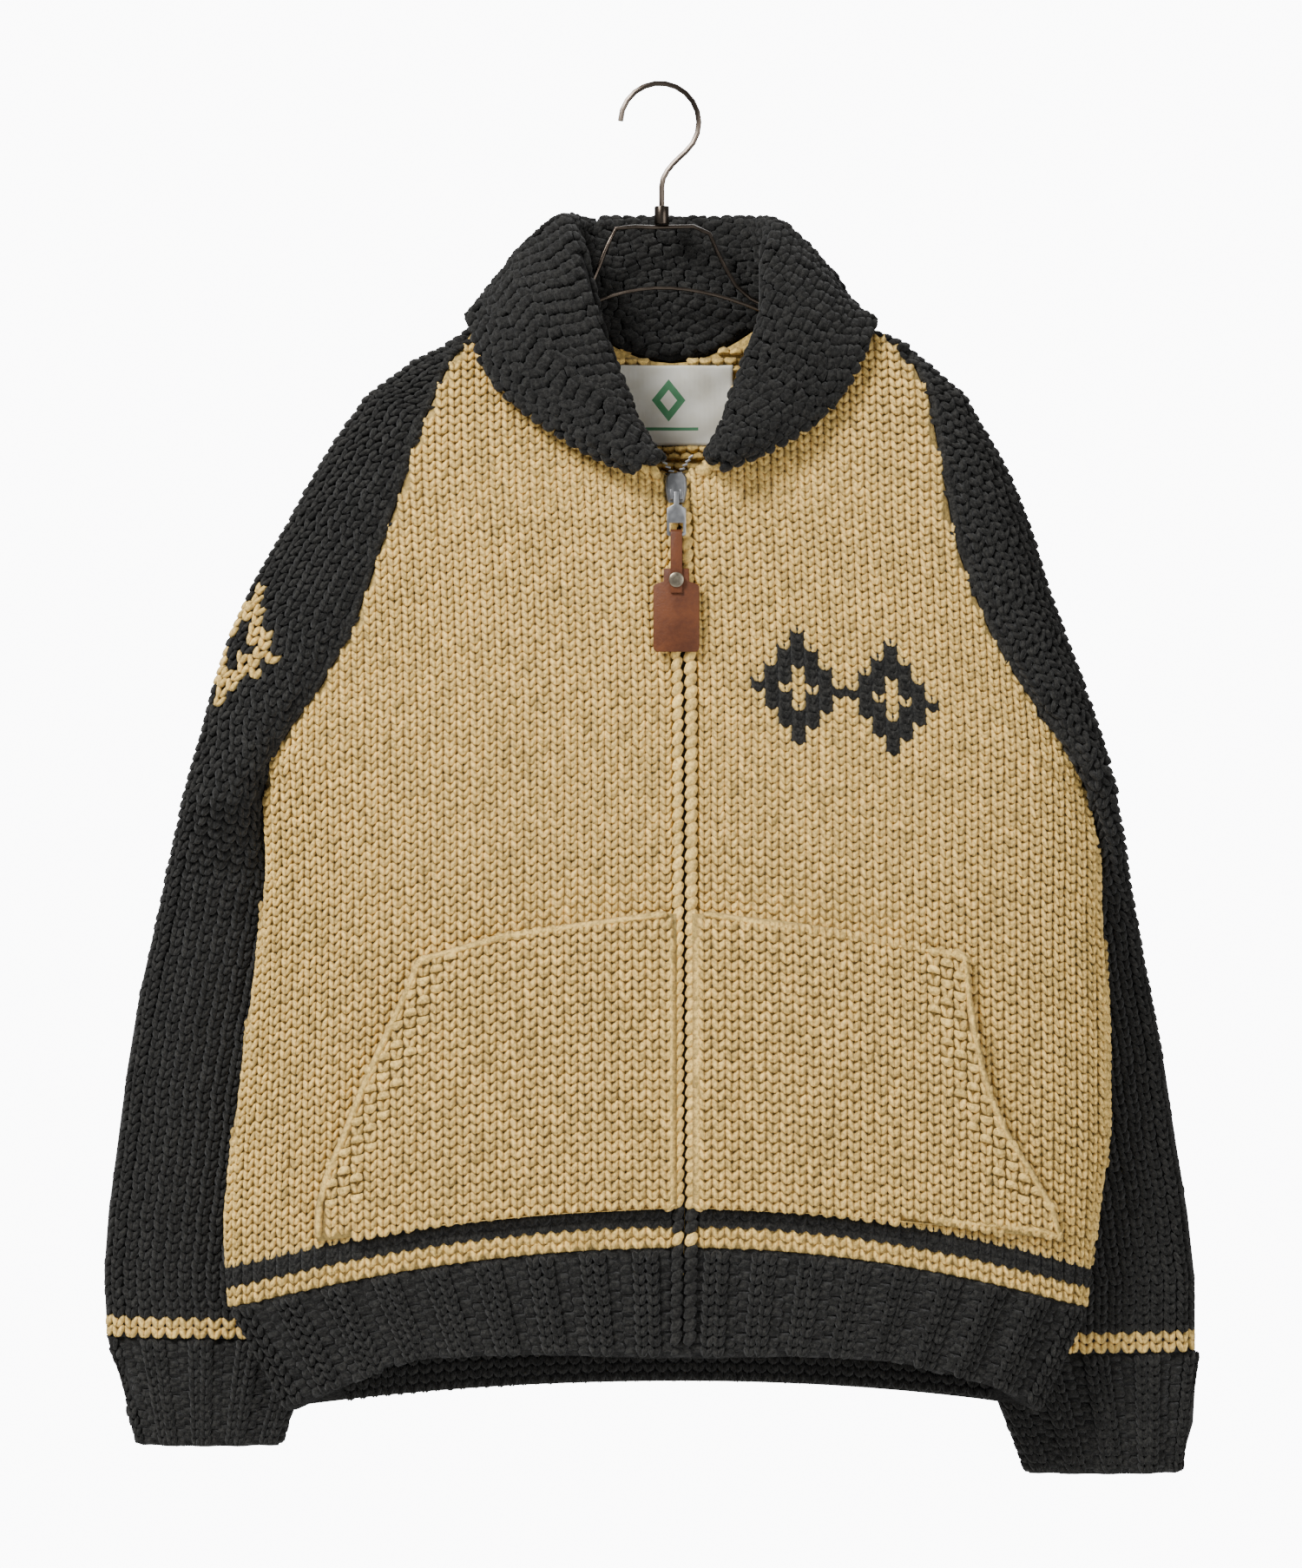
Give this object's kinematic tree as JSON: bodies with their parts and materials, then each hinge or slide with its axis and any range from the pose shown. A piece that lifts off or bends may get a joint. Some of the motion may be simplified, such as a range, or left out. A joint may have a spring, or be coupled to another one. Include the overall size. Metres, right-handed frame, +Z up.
{
  "type": "hand-knit shawl-collar zip sweater on a steel hanger",
  "caption": "Bulky raglan sweater with shawl collar, front zip, slanted patch pockets and ribbed welts and cuffs, hung on a steel hanger by its hook.",
  "frame": {"origin": "inner top of the hanger's hook, where it hangs on its rod", "axes": "+Z up, the garment's front faces -Y, +X is to the right as seen from the front"},
  "size_m": [0.731, 0.1245, 0.9225],
  "materials": {
    "cream wool": "single-ply bulky knit",
    "charcoal wool": "heathered single-ply bulky knit",
    "hanger steel": "bronzed wire",
    "zip metal": "satin grey",
    "brown leather": "smooth vegetable tanned",
    "woven label": "woven satin"
  },
  "bodies": {
    "garment": {"hanger_hook": "hanger steel", "hanger_ferrule": "hanger steel", "hanger_bar": "hanger steel", "hanger_rail": "hanger steel", "front_left": "cream wool", "front_right": "cream wool", "back": "cream wool", "sleeve_left": "charcoal wool", "sleeve_right": "charcoal wool", "welt_front_left": "charcoal wool", "welt_front_right": "charcoal wool", "welt_back": "charcoal wool", "cuff_left": "charcoal wool", "cuff_right": "charcoal wool", "collar": "charcoal wool", "pocket_left": "cream wool", "pocket_right": "cream wool", "neck_label": "woven label", "zip_tape_left": "zip metal", "zip_tape_right": "zip metal", "zip_slider": "zip metal"},
    "pull": {"zip_pull_tab": "zip metal"},
    "tag": {"pull_strap": "brown leather", "pull_tag": "brown leather", "tag_rivet": "zip metal"}
  },
  "joints": [
    {"name": "pull_swing", "type": "hinge", "parent": "garment", "child": "pull", "pos_m": [0.0107, -0.04438, -0.272], "axis": [-1, 0, 0], "range_deg": [0, 135]},
    {"name": "tag_swing", "type": "hinge", "parent": "pull", "child": "tag", "pos_m": [0.0107, -0.04438, -0.298], "axis": [-1, 0, 0], "range_deg": [0, 90]}
  ]
}
